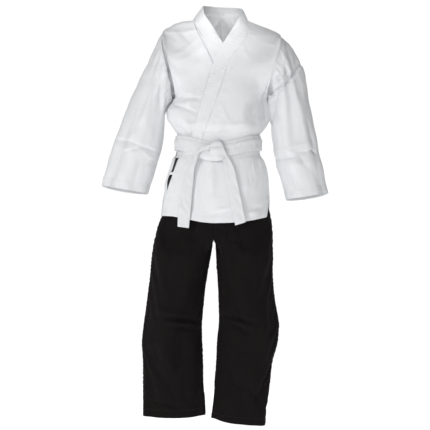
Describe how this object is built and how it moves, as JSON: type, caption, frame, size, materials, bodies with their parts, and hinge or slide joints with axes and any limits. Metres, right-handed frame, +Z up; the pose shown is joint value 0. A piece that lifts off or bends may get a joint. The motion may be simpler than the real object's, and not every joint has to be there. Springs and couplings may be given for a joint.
{
  "type": "martial arts uniform",
  "caption": "Martial arts uniform as worn: wrap jacket with a stitched collar band, tied belt with hanging ends, and straight elasticated trousers.",
  "frame": {"origin": "middle of the neck opening at the level of the shoulder line, where the jacket hangs on the wearer", "axes": "+Z up, +X towards the wearer's left, -Y towards the front"},
  "size_m": [0.788, 0.249, 1.421],
  "materials": {
    "jacket_cotton": "matte",
    "belt_cotton": "matte",
    "trouser_cotton": "matte",
    "elastic": "matte"
  },
  "bodies": {
    "jacket": {"left_front_panel": "jacket_cotton", "right_front_panel": "jacket_cotton", "left_back_panel": "jacket_cotton", "right_back_panel": "jacket_cotton", "collar_band": "jacket_cotton", "left_vent_patch": "jacket_cotton", "right_vent_patch": "jacket_cotton", "right_side_tie": "jacket_cotton", "inner_tie": "jacket_cotton", "belt_inner_wrap": "belt_cotton", "belt_outer_wrap": "belt_cotton", "belt_knot": "belt_cotton"},
    "left_tail": {"belt_left_tail": "belt_cotton"},
    "right_tail": {"belt_right_tail": "belt_cotton"},
    "left_arm": {"left_sleeve": "jacket_cotton", "left_cuff": "jacket_cotton"},
    "right_arm": {"right_sleeve": "jacket_cotton", "right_cuff": "jacket_cotton"},
    "trousers": {"waistband": "trouser_cotton", "waist_elastic": "elastic", "left_hip_front": "trouser_cotton", "left_hip_back": "trouser_cotton", "right_hip_front": "trouser_cotton", "right_hip_back": "trouser_cotton", "crotch_gusset": "trouser_cotton"},
    "left_leg": {"left_leg_front": "trouser_cotton", "left_leg_back": "trouser_cotton", "left_leg_hem": "trouser_cotton"},
    "right_leg": {"right_leg_front": "trouser_cotton", "right_leg_back": "trouser_cotton", "right_leg_hem": "trouser_cotton"}
  },
  "joints": [
    {"name": "left_shoulder", "type": "hinge", "parent": "jacket", "child": "left_arm", "pos_m": [0.2145, 0, -0.0575], "axis": [0, -1, 0], "range_deg": [0, 65]},
    {"name": "right_shoulder", "type": "hinge", "parent": "jacket", "child": "right_arm", "pos_m": [-0.1875, 0, -0.0405], "axis": [0, 1, 0], "range_deg": [0, 65]},
    {"name": "left_tail_swing", "type": "hinge", "parent": "jacket", "child": "left_tail", "pos_m": [0.016, -0.1235, -0.4795], "axis": [-1, 0, 0], "range_deg": [0, 60]},
    {"name": "right_tail_swing", "type": "hinge", "parent": "jacket", "child": "right_tail", "pos_m": [-0.073, -0.1195, -0.4735], "axis": [-1, 0, 0], "range_deg": [0, 60]},
    {"name": "trousers_down", "type": "slide", "parent": "jacket", "child": "trousers", "axis": [0, 0, -1], "range_m": [0, 0.3]},
    {"name": "left_hip", "type": "hinge", "parent": "trousers", "child": "left_leg", "pos_m": [0.08, -0.109, -0.699], "axis": [-1, 0, 0], "range_deg": [0, 60], "stiffness_Nm_per_rad": 0.4, "springref_deg": -45.84},
    {"name": "right_hip", "type": "hinge", "parent": "trousers", "child": "right_leg", "pos_m": [-0.11, -0.109, -0.699], "axis": [-1, 0, 0], "range_deg": [0, 60], "stiffness_Nm_per_rad": 0.4, "springref_deg": -45.84}
  ]
}
